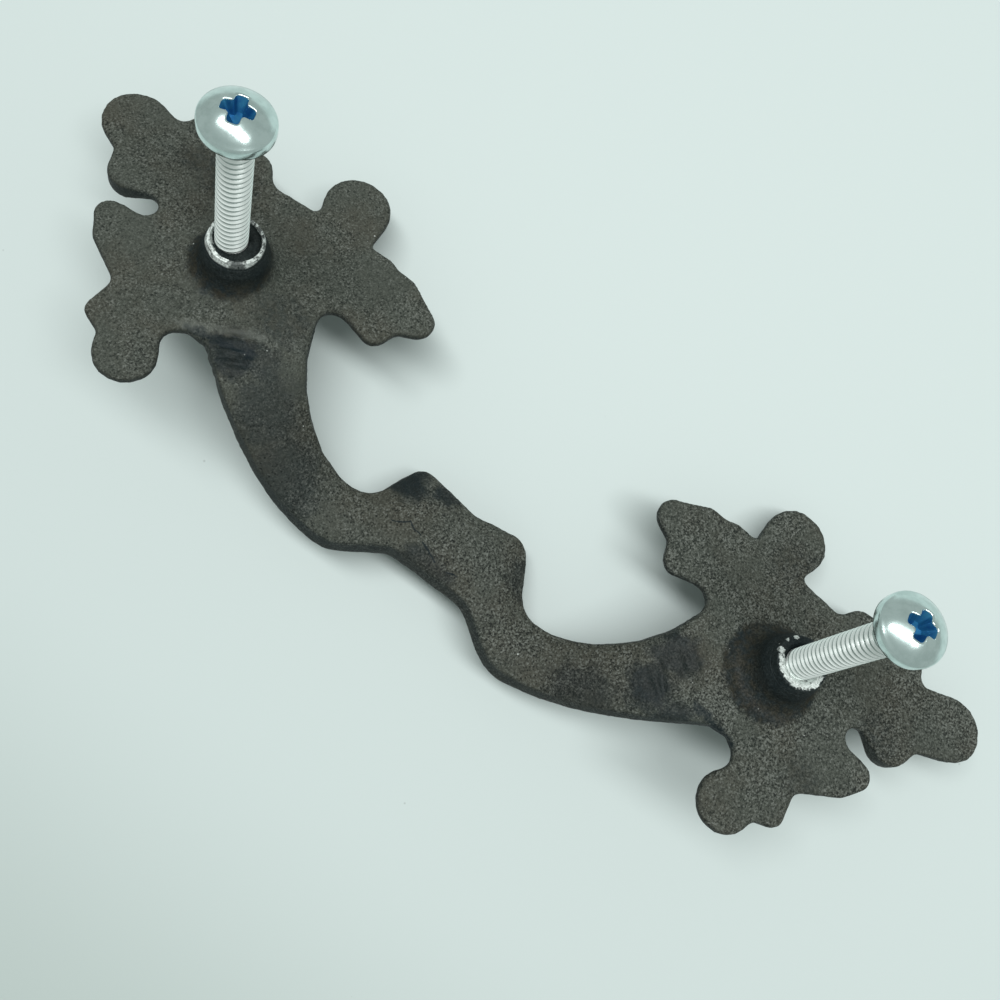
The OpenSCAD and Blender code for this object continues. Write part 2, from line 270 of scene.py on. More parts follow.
def far_from_line(tree, point, start, end):
    """Distance in plan from the straight line between two places, in millimetres."""
    run = Vector((end[0] - start[0], end[1] - start[1], 0))
    flat = vector_maths(tree, "MULTIPLY", point, (1, 1, 0))
    away = vector_maths(tree, "SUBTRACT", flat, (*start, 0))
    settings = {"operation": "DOT_PRODUCT"}
    along = place(tree, "ShaderNodeVectorMath", settings, {0: away, 1: tuple(run)}).outputs["Value"]
    settings = {"operation": "MULTIPLY", "use_clamp": True}
    share = place(tree, "ShaderNodeMath", settings, {0: along, 1: 1 / run.length_squared}).outputs[0]
    on_line = scaled(tree, tuple(run), share)
    return length_of(tree, vector_maths(tree, "SUBTRACT", away, on_line))


# %% [markdown]
# ## Cast iron
# The casting is blackened iron that has gone a dull greenish grey, browner in the middle of the
# grip. The grain is coarser on the grip than on the leaves, the thick coat shows as blue-black
# patches, and a crack in the coat runs over the middle of the grip. Painted shade darkens the steep
# walls and edges and the folds at the roots, a painted highlight runs along the left fold, and a few
# specks are painted glints.

# %% Name the colours and places of the iron
IRON_GREY = (0.061, 0.070, 0.058)
IRON_BROWN = (0.062, 0.064, 0.050)
# The black of the thick coat, which also paints the shade on the steep walls, the edges and the folds
COAT_AND_SHADE_BLACK = (0.004, 0.011, 0.015)
BOSS_BROWN = (0.018, 0.015, 0.008)
# A pale colour for the light grains, and also for the painted highlight along the left fold
PALE_GRAIN_AND_HIGHLIGHT = (0.18, 0.195, 0.175)
GRAIN_DARK = (0.008, 0.011, 0.010)
# Painted glints: bright specks that stand in for light caught by the coat
PAINTED_GLINT = (0.45, 0.48, 0.45)
BARE_IRON = (0.76, 0.82, 0.79)
BARE_DULL = (0.33, 0.36, 0.34)
# The dark foot of each boss, as the shift of its middle in x and y and its radius in millimetres
DARK_FEET = {"left": (-0.3, -0.6, 5.5), "right": (-0.9, -0.9, 6.9)}
# Patches of thick black coat, and by the left root patches of painted shade where the surface falls
# away, as x, y, radius in millimetres and strength
BLACK_PATCHES = [
    (-9.3, -4.8, 2.8, 1.0), (-4.3, -3.8, 2.0, 0.9), (10.6, -6.0, 2.6, 0.6), (30.2, -10.6, 2.8, 1.0),
    (-35.2, -9.2, 3.0, 1.0), (-31.5, -8.0, 2.4, 0.6), (-50.5, 9.2, 3.6, 0.7), (-55.5, 8.6, 2.2, 0.5),
    (-27.8, -11.6, 4.2, 0.6), (30.6, -5.8, 3.0, 1.0), (34.5, -12.4, 2.2, 0.8), (-2.4, -13.4, 2.2, 0.7),
    (24.0, -15.5, 4.0, 0.7), (-22.0, -15.5, 5.0, 0.6), (0.5, -15.4, 3.2, 0.7),
    (51.2, -10.0, 2.6, 0.4), (57.5, 1.2, 3.0, 0.45), (38.0, 14.0, 3.4, 0.4), (-33.6, -2.0, 3.6, 0.45),
]
# Lines where the coat is cracked, as pairs of places
CRACKS = [
    ((-8.03, -10.82), (-6.14, -9.63)), ((-6.14, -9.63), (-5.18, -10.07)), ((-5.18, -10.07), (-3.9, -10.3)),
    ((-3.36, -11.04), (-1.87, -11.55)), ((-1.87, -11.55), (-0.4, -12.26)), ((1.6, -12.4), (2.95, -11.99)),
]
# The folds across the roots: dark lines of painted shade, with a painted highlight along the upper side of
# the left fold
FOLD_PAINTED_SHADE = [
    ((-41.1, -10.4), (-36.6, -9.0)), ((-36.6, -9.0), (-33.4, -8.2)),
    ((35.7, -9.8), (38.4, -10.3)), ((38.4, -10.3), (41.4, -11.5)),
]
FOLD_PAINTED_HIGHLIGHT = [((-42.2, -10.7), (-38.1, -8.1)), ((-38.1, -8.1), (-34.0, -5.6))]
# Heights in millimetres between which a mark fades in or out
LEAF_BACK = (-0.6, -0.2)
LEAF_TO_GRIP = (-5.0, -1.0)
FOLD_FADE = (-4.5, -3.5)
CRACK_FADE = (-13.5, -12.5)
BROWN_FADE_IN = (-0.8, -0.2)
BROWN_FADE_OUT = (0.6, 3.4)


# %% Mask the thick coat, the cracks and the painted shade at the roots
def coat_and_root_shade_mask(tree, point, axes):
    """Patches of thick coat, patches of painted shade by the left root, and the dark feet of the bosses.
    """
    patches = []
    for x, y, radius, strength in BLACK_PATCHES:
        far = far_from(tree, point, (x, y), ragged=4.5)
        patches.append(ramp(tree, far, radius * 0.6, radius * 1.4, strength, 0.0))
    on_back = ramp(tree, axes["Z"], *LEAF_BACK)
    for side, (shift_x, shift_y, radius) in DARK_FEET.items():
        middle = (boss_places[side].x + shift_x, boss_places[side].y + shift_y)
        far = far_from(tree, point, middle, ragged=2.2, lumps=1.4)
        foot = ramp(tree, far, radius - 0.9, radius + 0.3, 1.0, 0.0)
        patches.append(maths(tree, "MULTIPLY", foot, on_back))
    return chain(tree, "MAXIMUM", patches)


def line_mask(tree, point, lines, narrow, wide, bend=0.7):
    """Lines that wander by bend, full within narrow and gone at wide, in millimetres."""
    wander = place(tree, "ShaderNodeTexNoise", None, {"Vector": point, "Scale": 1.1, "Detail": 3.0})
    wander = vector_maths(tree, "SUBTRACT", wander.outputs["Color"], (0.5, 0.5, 0.5))
    sideways = vector_maths(tree, "MULTIPLY", wander, (bend, bend, 0))
    bent = vector_maths(tree, "ADD", point, sideways)
    nearest = chain(tree, "MINIMUM", [far_from_line(tree, bent, *line) for line in lines])
    return ramp(tree, nearest, narrow, wide, 1.0, 0.0)


def crack_and_fold_shade_mask(tree, point, axes):
    """Thin dark cracks on the back of the grip, and painted shade along the folds."""
    cracks = line_mask(tree, point, CRACKS, narrow=0.04, wide=0.15)
    cracks = maths(tree, "MULTIPLY", cracks, ramp(tree, axes["Z"], *CRACK_FADE))
    # Painted shade along the folds at the roots
    fold_shade = line_mask(tree, point, FOLD_PAINTED_SHADE, narrow=0.15, wide=0.75, bend=1.6)
    fold_shade = maths(tree, "MULTIPLY", fold_shade, ramp(tree, axes["Z"], *FOLD_FADE, 0.0, 0.8))
    return maths(tree, "MAXIMUM", cracks, fold_shade)


# %% Mask the bare metal
# The bright ring on the left boss: its inner and outer edges, and its gap from the boss's middle
RING_INNER = (2.66, 2.84)
RING_OUTER = (3.44, 3.66)
RING_GAP = (2.2, -2.6)
# The chipped patch on the right boss: its outer edge, the drop and lean of its upper one, and the
# flecks beyond it, as x, y and radius from the boss's middle
CHIP_OUTER = (3.1, 3.25)
CHIP_DROP = 0.4
CHIP_LEAN = 0.17
CHIP_FLECKS = [(-3.1, -0.2, 0.45), (-3.1, 1.5, 0.3), (-2.2, 2.4, 0.35)]


def worn_ring(tree, point, low_side):
    """The bright ring on the left boss, broken by specks and wider on its low side."""
    x, y = boss_places["left"].xy
    far = far_from(tree, point, (x, y), ragged=0.9, lumps=0.45)
    reach = maths(tree, "MULTIPLY_ADD", low_side, -0.3, far)
    ring = maths(tree, "MULTIPLY", ramp(tree, far, *RING_INNER), ramp(tree, reach, *RING_OUTER, 1.0, 0.0))
    chance = maths(tree, "MULTIPLY_ADD", low_side, 0.1, noise_at(tree, point, 0.45, 3.0, 0.75))
    worn = ramp(tree, chance, 0.44, 0.56, 0.12, 1.0)
    from_gap = far_from(tree, point, (x + RING_GAP[0], y + RING_GAP[1]), ragged=1.6, lumps=0.6)
    gap = ramp(tree, from_gap, 0.6, 1.3, 0.15, 1.0)
    return maths(tree, "MULTIPLY", ring, maths(tree, "MULTIPLY", worn, gap))


def chipped_patch(tree, point, axes):
    """The chipped patch on the low side of the right boss, with flecks in it and beyond it."""
    x, y = boss_places["right"].xy
    far = far_from(tree, point, (x, y), ragged=1.1, lumps=0.5)
    chip = ramp(tree, far, *CHIP_OUTER, 1.0, 0.0)
    wobble = maths(tree, "SUBTRACT", noise_at(tree, point, 0.55, 4.0, 0.75), 0.5)
    across = maths(tree, "MULTIPLY_ADD", wobble, 2.4, axes["Y"])
    across = maths(tree, "MULTIPLY_ADD", axes["X"], -CHIP_LEAN, across)
    edge = y - CHIP_DROP - CHIP_LEAN * x
    chip = maths(tree, "MULTIPLY", chip, ramp(tree, across, edge - 0.15, edge + 0.15, 1.0, 0.0))
    dark = spots(tree, point, size=0.45, smallest=-0.4, largest=0.4)
    chip = maths(tree, "MULTIPLY", chip, maths(tree, "MULTIPLY_ADD", dark, -0.75, 1.0))
    for fleck_x, fleck_y, radius in CHIP_FLECKS:
        far = far_from(tree, point, (x + fleck_x, y + fleck_y), ragged=0.9, lumps=0.35)
        chip = maths(tree, "MAXIMUM", chip, ramp(tree, far, radius - 0.1, radius, 0.9, 0.0))
    return chip


def bare_metal_mask(tree, point, axes):
    """Bare metal on the bosses' tops, which also shows a little lower on the low side."""
    left_y = boss_places["left"].y
    low_side = ramp(tree, axes["Y"], left_y - 2.6, left_y + 1.6, 1.0, 0.0)
    height = maths(tree, "MULTIPLY_ADD", low_side, 0.5, axes["Z"])
    on_top = ramp(tree, height, BOSS_TOP - 0.5, BOSS_TOP - 0.22)
    bare = maths(tree, "MAXIMUM", worn_ring(tree, point, low_side), chipped_patch(tree, point, axes))
    return maths(tree, "MULTIPLY", on_top, bare)


# %% Lay the coat, the grain and the marks over the iron
# Size of the grains in millimetres
GRAIN_ON_LEAF = 0.24
GRAIN_ON_GRIP = 0.27
# Contrast of the speckle at the two ends of a run along X, and its share from most to least worn
CONTRAST_RUN = (-30.0, 30.0)
CONTRAST = (1.1, 1.55)
WORN_SHARE = (0.6, 1.15)
# Speckle over which the light grains come in, and over which the dark ones go out
LIGHT_GRAINS = (0.48, 0.8)
DARK_GRAINS = (0.26, 0.52)
# Share of painted shade laid on the steep walls and edges
RIM_PAINTED_SHADE = 0.8


def coated_and_shaded(tree, point, axes, broad, colour):
    """The colour under the black coat, which is brown in streaks round the bosses, with the coat and the
    painted shade of the steep walls over it, and the mask of both.
    """
    # The rim number paints shade on the steep walls and edges, and joins the coat's mask
    rim = place(tree, "ShaderNodeAttribute", {"attribute_name": "rim"}).outputs["Fac"]
    on_rim = maths(tree, "MULTIPLY", rim, RIM_PAINTED_SHADE)
    coat_and_shade = maths(tree, "MAXIMUM", coat_and_root_shade_mask(tree, point, axes), on_rim)
    streaks = ramp(tree, noise_at(tree, point, 1.3, 4.0, 0.7), 0.35, 0.62)
    brown = maths(tree, "MULTIPLY", streaks, ramp(tree, axes["Z"], *BROWN_FADE_OUT, 0.9, 0.0))
    brown = maths(tree, "MULTIPLY", brown, ramp(tree, axes["Z"], *BROWN_FADE_IN, 0.2, 1.0))
    black = mix_colour(tree, brown, COAT_AND_SHADE_BLACK, BOSS_BROWN)
    cover = maths(tree, "MULTIPLY", coat_and_shade, ramp(tree, broad, 0.3, 0.7, 0.95, 0.75))
    return mix_colour(tree, cover, colour, black), coat_and_shade


def speckled(tree, point, axes, on_grip, coat_and_shade, colour):
    """The colour with light and dark grains and pits, stronger to the right, and their height."""
    fine_height, fine_speckle, fine_pits = grain(tree, point, GRAIN_ON_LEAF)
    coarse_height, coarse_speckle, coarse_pits = grain(tree, point, GRAIN_ON_GRIP)
    speckle = mix_value(tree, on_grip, fine_speckle, coarse_speckle)
    contrast = ramp(tree, axes["X"], *CONTRAST_RUN, *CONTRAST)
    worn = ramp(tree, noise_at(tree, point, 7.0, 3.0, 0.6), 0.36, 0.62, *WORN_SHARE)
    contrast = maths(tree, "MULTIPLY", contrast, worn)
    from_middle = maths(tree, "SUBTRACT", speckle, 0.5)
    speckle = maths(tree, "MULTIPLY_ADD", from_middle, contrast, 0.5)
    shown = maths(tree, "MULTIPLY_ADD", coat_and_shade, -0.72, 0.85)
    light = mix_colour(tree, shown, colour, PALE_GRAIN_AND_HIGHLIGHT)
    dark = mix_colour(tree, 0.9, colour, GRAIN_DARK)
    colour = mix_colour(tree, ramp(tree, speckle, *LIGHT_GRAINS), colour, light)
    colour = mix_colour(tree, ramp(tree, speckle, *DARK_GRAINS, 1.0, 0.0), colour, dark)
    pits = mix_value(tree, on_grip, maths(tree, "MULTIPLY", fine_pits, 0.5), coarse_pits)
    colour = mix_colour(tree, maths(tree, "MULTIPLY", pits, 0.8), colour, GRAIN_DARK)
    height = mix_value(tree, on_grip, fine_height, maths(tree, "MULTIPLY", coarse_height, 1.6))
    return colour, speckle, height


def marked(tree, point, axes, colour):
    """The colour with a few painted glints, the cracks, the painted shade of the folds, and the painted
    highlight along the left fold.
    """
    # Painted glints
    specks = spots(tree, point, size=1.7, smallest=-1.1, largest=0.09, soft=0.05)
    colour = mix_colour(tree, specks, colour, PAINTED_GLINT)
    crack_and_shade = maths(tree, "MULTIPLY", crack_and_fold_shade_mask(tree, point, axes), 0.85)
    colour = mix_colour(tree, crack_and_shade, colour, COAT_AND_SHADE_BLACK)
    # A painted highlight along the upper side of the left fold
    painted_highlight = line_mask(tree, point, FOLD_PAINTED_HIGHLIGHT, narrow=0.1, wide=0.9, bend=1.6)
    painted_highlight = maths(tree, "MULTIPLY", painted_highlight, ramp(tree, axes["Z"], *FOLD_FADE, 0.0, 0.3))
    return mix_colour(tree, painted_highlight, colour, PALE_GRAIN_AND_HIGHLIGHT)


# %% Mix the cast iron
# Roughness of the iron, and how much less the coat, bare metal and light grains have
IRON_ROUGH = 0.7
COAT_SMOOTHER = 0.14
BARE_SMOOTHER = 0.15
GRAIN_SMOOTHER = 0.1
BARE_METALLIC = 0.35
IRON_SPECULAR = 0.15
GRAIN_DEPTH = 0.09 * MM


def mix_cast_iron():
    """The finish of the casting, from the bare colour of the iron up to its worn places."""
    material, tree, shader, point = new_material("cast_iron")
    axes = place(tree, "ShaderNodeSeparateXYZ", None, {"Vector": point}).outputs
    on_grip = ramp(tree, axes["Z"], *LEAF_TO_GRIP, 1.0, 0.0)
    broad = noise_at(tree, point, 11.0, 3.0, 0.55)
    brown = maths(tree, "MULTIPLY_ADD", on_grip, 0.1, broad)
    colour = mix_colour(tree, ramp(tree, brown, 0.42, 0.7), IRON_GREY, IRON_BROWN)
    colour, coat_and_shade = coated_and_shaded(tree, point, axes, broad, colour)
    colour, speckle, height = speckled(tree, point, axes, on_grip, coat_and_shade, colour)
    colour = marked(tree, point, axes, colour)

    bare = bare_metal_mask(tree, point, axes)
    dull = ramp(tree, noise_at(tree, point, 0.3, 3.0, 0.7), 0.36, 0.56, 0.75, 0.0)
    colour = mix_colour(tree, bare, colour, mix_colour(tree, dull, BARE_IRON, BARE_DULL))
    rough = maths(tree, "MULTIPLY_ADD", coat_and_shade, -COAT_SMOOTHER, IRON_ROUGH)
    rough = maths(tree, "MULTIPLY_ADD", bare, -BARE_SMOOTHER, rough)
    rough = maths(tree, "MULTIPLY_ADD", speckle, -GRAIN_SMOOTHER, rough)
    tree.links.new(colour, shader.inputs["Base Color"])
    tree.links.new(maths(tree, "MULTIPLY", bare, BARE_METALLIC), shader.inputs["Metallic"])
    tree.links.new(rough, shader.inputs["Roughness"])
    shader.inputs["Specular IOR Level"].default_value = IRON_SPECULAR
    add_bump(tree, shader, height, strength=0.8, depth=GRAIN_DEPTH)
    return material


cast_iron = mix_cast_iron()
print("The cast iron mixes", len(BLACK_PATCHES), "patches of thick coat")

# %% [markdown]
# ## The casting
# The solid is exact, and a real casting isn't: its edges are soft and its faces uneven. A copy of
# the solid is merged and rebuilt from small voxels, smoothed a little, and pushed in by noise.
# Voxels need no hand-made points and keep every size of the solid. The roots, where the grip springs
# from the leaves, wrinkled as the iron cooled, so the noise there is drawn out into streaks.

# %% Rebuild the casting from voxels
VOXEL = 0.31 * MM
# Points closer than this are one point
MERGE_GAP = 0.002 * MM
# Depth of the noise, in broad lumps and in fine grit
LUMPS = 0.16 * MM
GRIT = 0.09 * MM
# Wrinkled places, as x, y, radius in millimetres and the heading of the streaks in degrees
WRINKLES = [(-35.6, -8.6, 4.6, 32), (32.2, -8.2, 4.2, 140)]
WRINKLE_DEPTH = 0.7 * MM
# Length, width and depth of a streak, in millimetres
STREAK = (4.0, 0.75, 2.0)
STREAK_STRENGTH = 2.2


def copy_of_node(node, name):
    """A new object with the node's mesh, its loose triangles merged."""
    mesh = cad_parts[node].data.copy()
    mesh.name = name
    mesh.materials.clear()
    piece = bpy.data.objects.new(name, mesh)
    bpy.context.scene.collection.objects.link(piece)
    bm = bmesh.new()
    bm.from_mesh(mesh)
    bmesh.ops.remove_doubles(bm, verts=bm.verts, dist=MERGE_GAP)
    bm.to_mesh(mesh)
    bm.free()
    return piece


def apply_modifiers(piece):
    """Put the modified mesh in the object's place and drop its modifiers."""
    evaluated = piece.evaluated_get(bpy.context.evaluated_depsgraph_get())
    mesh = bpy.data.meshes.new_from_object(evaluated)
    piece.modifiers.clear()
    old = piece.data
    piece.data = mesh
    mesh.name = old.name
    bpy.data.meshes.remove(old)


casting = copy_of_node("handle_casting", "casting_skin")
remesh = casting.modifiers.new("voxels", "REMESH")
remesh.mode = "VOXEL"
remesh.voxel_size = VOXEL
soften = casting.modifiers.new("soften", "SMOOTH")
soften.factor = 0.5
soften.iterations = 2
apply_modifiers(casting)
print("The voxels give", len(casting.data.vertices), "points")


# %% Push the casting in by noise
def inward(value):
    """Noise from -1 to 1 turned into a push from -1 to 0, so that no point leaves the solid."""
    return (value - 1) / 2


def wrinkle_at(place_mm):
    """Streaks in the wrinkled places, from -1 to 0."""
    push = 0.0
    for x, y, radius, heading in WRINKLES:
        away = Vector((place_mm.x - x, place_mm.y - y))
        if away.length < radius:
            turned = Matrix.Rotation(-math.radians(heading), 2) @ away
            place_in_streaks = (turned.x / STREAK[0], turned.y / STREAK[1], place_mm.z / STREAK[2])
            streak = min(1.0, STREAK_STRENGTH * noise.noise(Vector(place_in_streaks)))
            push += inward(streak) * (1 - (away.length / radius) ** 2)
    return push


def push_by_noise(piece, lumps, grit, lump_size=2.4, grit_size=0.75):
    """Move each point in along its normal by lumps, grit and wrinkles. Sizes are in millimetres."""
    normals = [vertex.normal.copy() for vertex in piece.data.vertices]
    for vertex, normal in zip(piece.data.vertices, normals):
        place_mm = vertex.co / MM
        push = inward(noise.noise(place_mm / lump_size)) * lumps
        push += inward(noise.noise(place_mm / grit_size)) * grit
        push += wrinkle_at(place_mm) * WRINKLE_DEPTH
        vertex.co += normal * push


push_by_noise(casting, LUMPS, GRIT)

# %% [markdown]
# ## Boss tops
# The voxels are too coarse for the narrow rim round the left hole, which the eye goes to. So the top
# of each boss is cut off the casting, and a finer one is spun from its profile and set in its place.

# %% Cut off the tops
CUT_Z = 4.3 * MM
CUT_TOLERANCE = 1e-7


def cut_level(bm, height, keep_below=True):
    """Cut off what lies above a height, or below it, and give the edges of the cut."""
    cut = bmesh.ops.bisect_plane(
        bm, geom=bm.verts[:] + bm.edges[:] + bm.faces[:], plane_co=(0, 0, height),
        plane_no=(0, 0, 1 if keep_below else -1), clear_outer=True, dist=CUT_TOLERANCE,
    )
    return [item for item in cut["geom_cut"] if isinstance(item, bmesh.types.BMEdge)]


bm = bmesh.new()
bm.from_mesh(casting.data)
cut_level(bm, CUT_Z)
open_edges = [edge for edge in bm.edges if edge.is_boundary]
for sign in (-1, 1):
    loops = [edge for edge in open_edges if sign * edge.verts[0].co.x > 0]
    bmesh.ops.bridge_loops(bm, edges=loops)
bmesh.ops.recalc_face_normals(bm, faces=bm.faces)
bm.to_mesh(casting.data)
bm.free()
print("The cut left", len(open_edges), "open edges, which are bridged")


# %% Spin the fine tops
# Sizes of a boss's top in millimetres: its side's radius at a height and loss of radius with height,
# its rounded rim, and where the new piece starts, sunk into the casting
SIDE_R = 4.3
SIDE_FOOT_Z = 3.03
SIDE_SLOPE = 0.322
RIM_R = 0.3
TOP_FOOT_Z = 3.8
TOP_FOOT_R = 2.0
SUNK = 0.07
# Steps up the side and round the whole spin, and the length of a step round the rim, in degrees,
# and across the worn top, in millimetres
SIDE_STEPS = 10
TOP_SPIN_STEPS = 120
RIM_STEP = 15
TOP_STEP = 0.1
TOP_LUMPS = 0.8 * LUMPS
# Rings of points inside the mouth, and the bar that cuts the hole through them
FLOOR_RADII = (1.5, 1.0, 0.5, 0)
HOLE_R = 2.05 * MM
HOLE_CUTTER_L = 8 * MM
# The mouth and floor of each hole, as (radius, depth below the top) in millimetres
MOUTHS = {
    "left": [(3.0, 0), (2.93, 0.02), (2.88, 0.1), (2.83, 0.3), (2.78, 0.5), (2.7, 0.66), (2.55, 0.7)],
    "right": [(2.6, 0), (2.45, 0.01), (2.36, 0.06), (2.2, 0.22), (2.04, 0.38), (1.9, 0.42)],
}


def spin_profile(bm, points, steps, rise=0.0):
    """Spin a row of (radius, height) points about Z, lifting it by rise in one turn."""
    verts = [bm.verts.new((radius, 0, height)) for radius, height in points]
    edges = [bm.edges.new(pair) for pair in zip(verts, verts[1:])]
    bmesh.ops.spin(
        bm, geom=verts + edges, cent=(0, 0, 0), axis=(0, 0, 1), dvec=(0, 0, rise / steps),
        angle=2 * math.pi, steps=steps, use_merge=False, use_duplicate=False,
    )
    bmesh.ops.remove_doubles(bm, verts=bm.verts, dist=MERGE_GAP)


def side_r(height):
    """Radius of the boss's tapered side at a height, in millimetres."""
    return SIDE_R - SIDE_SLOPE * (height - SIDE_FOOT_Z)


def new_piece(name, bm):
    """An object with the shape of bm, which is freed."""
    mesh = bpy.data.meshes.new(name)
    bm.to_mesh(mesh)
    bm.free()
    piece = bpy.data.objects.new(name, mesh)
    bpy.context.scene.collection.objects.link(piece)
    return piece


def boolean(piece, other, operation):
    """Join or cut a piece with another, and delete the other."""
    change = piece.modifiers.new(operation.lower(), "BOOLEAN")
    change.operation = operation
    change.object = other
    change.solver = "EXACT"
    change.use_self = True
    apply_modifiers(piece)
    bpy.data.objects.remove(other)


def hole_cutter(side):
    """A round bar as wide as the tapped hole."""
    low, high = screw_boxes[side]
    bm = bmesh.new()
    bmesh.ops.create_cone(
        bm, cap_ends=True, segments=64, radius1=HOLE_R, radius2=HOLE_R, depth=HOLE_CUTTER_L
    )
    middle = ((low.x + high.x) / 2, (low.y + high.y) / 2, BOSS_TOP * MM)
    bmesh.ops.translate(bm, verts=bm.verts, vec=middle)
    return new_piece("hole_cutter", bm)


def make_boss_top(side):
    """The top of a boss: its side, rounded rim, worn top, mouth and hole."""
    points = [(0, TOP_FOOT_Z), (TOP_FOOT_R, TOP_FOOT_Z)]
    rim_z = BOSS_TOP - RIM_R
    rim_r = side_r(rim_z)
    for step in range(SIDE_STEPS):
        height = TOP_FOOT_Z + (rim_z - TOP_FOOT_Z) * step / SIDE_STEPS
        sunk = SUNK if height * MM < CUT_Z else 0.0
        points.append((side_r(height) - sunk, height))
    for angle in range(0, 91, RIM_STEP):
        across = RIM_R * math.cos(math.radians(angle))
        up = RIM_R * math.sin(math.radians(angle))
        points.append((rim_r - RIM_R + across, rim_z + up))
    mouth = MOUTHS[side]
    across = rim_r - RIM_R - TOP_STEP
    while across > mouth[0][0] + TOP_STEP / 2:
        points.append((across, BOSS_TOP))
        across -= TOP_STEP
    points += [(radius, BOSS_TOP - depth) for radius, depth in mouth]
    points += [(radius, BOSS_TOP - mouth[-1][1]) for radius in FLOOR_RADII]
    bm = bmesh.new()
    spin_profile(bm, [(radius * MM, height * MM) for radius, height in points], TOP_SPIN_STEPS)
    bmesh.ops.recalc_face_normals(bm, faces=bm.faces)
    bmesh.ops.translate(bm, verts=bm.verts, vec=(*boss_places[side].xy * MM, 0))
    top = new_piece(side + "_boss_top", bm)
    push_by_noise(top, TOP_LUMPS, GRIT)
    push_by_noise(top, lumps=0.05 * MM, grit=0.04 * MM, lump_size=0.5, grit_size=0.25)
    boolean(top, hole_cutter(side), "DIFFERENCE")
    print("The", side, "boss top has", len(top.data.polygons), "faces")
    return top


boss_tops = [make_boss_top(side) for side in SIDES]

# %% [markdown]
# ## Painted shade along the edges
# The steep side walls and the edges next to them get painted shade. A node can't see how near an
# edge is, so each point of the mesh keeps a number for it: 1 on a wall, 0 on a face, spread a little
# by averaging each point with its neighbours. The material reads it by name.

# %% Mark the rims
# Upward part of the normal at which the mark begins, and how much less makes it full
FACE_TILT = 0.72
TILT_RANGE = 0.4


def mark_rims(piece, rounds=2):
    """Store how steep the surface is at each point, blurred over its neighbours."""
    mesh = piece.data
    tilts = [(FACE_TILT - abs(vertex.normal.z)) / TILT_RANGE for vertex in mesh.vertices]
    steep = [min(1.0, max(0.0, tilt)) for tilt in tilts]
    for _ in range(rounds):
        total = steep[:]
        count = [1] * len(steep)
        for edge in mesh.edges:
            first, second = edge.vertices
            total[first] += steep[second]
            total[second] += steep[first]
            count[first] += 1
            count[second] += 1
        steep = [value / number for value, number in zip(total, count)]
    layer = mesh.attributes.new("rim", "FLOAT", "POINT")
    layer.data.foreach_set("value", steep)


for piece in [casting, *boss_tops]:
    mark_rims(piece)
    piece.data.materials.append(cast_iron)
    for polygon in piece.data.polygons:
        polygon.use_smooth = True
    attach(piece, "root")
    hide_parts("handle_casting")
print("The casting has", len(casting.data.polygons), "faces")

# %% [markdown]
# ## Bright zinc
# The screws are steel with a thin bright zinc plating. It is a soft mirror: metallic, smooth, with
# a faint cloudiness. The rolled thread is rougher; its flanks are painted lighter, a painted
# highlight for the bright bands they reflect, and its crests and roots get painted shade.
# Plating liquid dries in the cross recess and leaves it blue.

# %% Mix the zinc
ZINC = (0.66, 0.79, 0.77)
ZINC_DULL = (0.55, 0.67, 0.65)
# The thread's flanks are lighter than the head's zinc, as painted highlight, and its crests and roots
# darker, as painted shade
THREAD_ZINC_HIGHLIGHT = (0.94, 1.0, 0.97)
THREAD_PAINTED_SHADE = (0.38, 0.47, 0.44)
RECESS_BLUE = (0.012, 0.11, 0.30)
RECESS_TEAL = (0.03, 0.20, 0.36)
# Distance from the screw's axis, in millimetres, of the middle of the thread's flanks, and how far
# from it the painted highlight fades into the painted shade of crest and root
FLANK_R = 1.85
FLANK_EDGE = (0.11, 0.16)


def flank_mask(tree, point):
    """One on the middle of each thread's flank, and zero on its crest and in its root."""
    near = [far_from(tree, point, middle.xy) for middle in hole_places.values()]
    off_flank = maths(tree, "SUBTRACT", chain(tree, "MINIMUM", near), FLANK_R)
    off_flank = maths(tree, "ABSOLUTE", off_flank)
    return ramp(tree, off_flank, *FLANK_EDGE, 1.0, 0.0)


def mix_zinc(name, clean, dull, smooth, rough, metallic, on_thread=False):
    """Zinc that is cloudy between clean and dull, or on a thread has a painted highlight on the flanks and
    painted shade on crests and roots.
    """
    material, tree, shader, point = new_material(name)
    cloud = noise_at(tree, point, 1.3, 4.0, 0.6)
    # On a thread the flank mask paints highlight on the flanks and shade on crests and roots
    clean_or_lit = flank_mask(tree, point) if on_thread else ramp(tree, cloud, 0.35, 0.65)
    tree.links.new(mix_colour(tree, clean_or_lit, dull, clean), shader.inputs["Base Color"])
    tree.links.new(ramp(tree, cloud, 0.3, 0.7, rough, smooth), shader.inputs["Roughness"])
    shader.inputs["Metallic"].default_value = metallic
    add_bump(tree, shader, noise_at(tree, point, 0.9, 3.0, 0.6), strength=0.12, depth=0.08 * MM)
    return material


bright_zinc = mix_zinc("bright_zinc", ZINC, ZINC_DULL, smooth=0.16, rough=0.24, metallic=1.0)
blue_zinc = mix_zinc("blue_zinc", RECESS_TEAL, RECESS_BLUE, smooth=0.35, rough=0.45, metallic=0.6)
thread_zinc = mix_zinc(
    "thread_zinc", THREAD_ZINC_HIGHLIGHT, THREAD_PAINTED_SHADE, smooth=0.3, rough=0.4, metallic=0.55, on_thread=True
)
screw_finishes = (bright_zinc, blue_zinc, thread_zinc)
print("The screws have", len(screw_finishes), "finishes")

# %% [markdown]
# ## Screws
# A screw thread is one small tooth carried round and up at once. The spin operator does this when
# its dvec lifts each step: after a full turn every tooth meets the start of the next, and merging
# doubles joins them. Each tooth is a V of about 70 degrees with a flat on its crest.

# %% Spin a thread
THREAD_R = 2.0 * MM
PITCH = 0.84 * MM
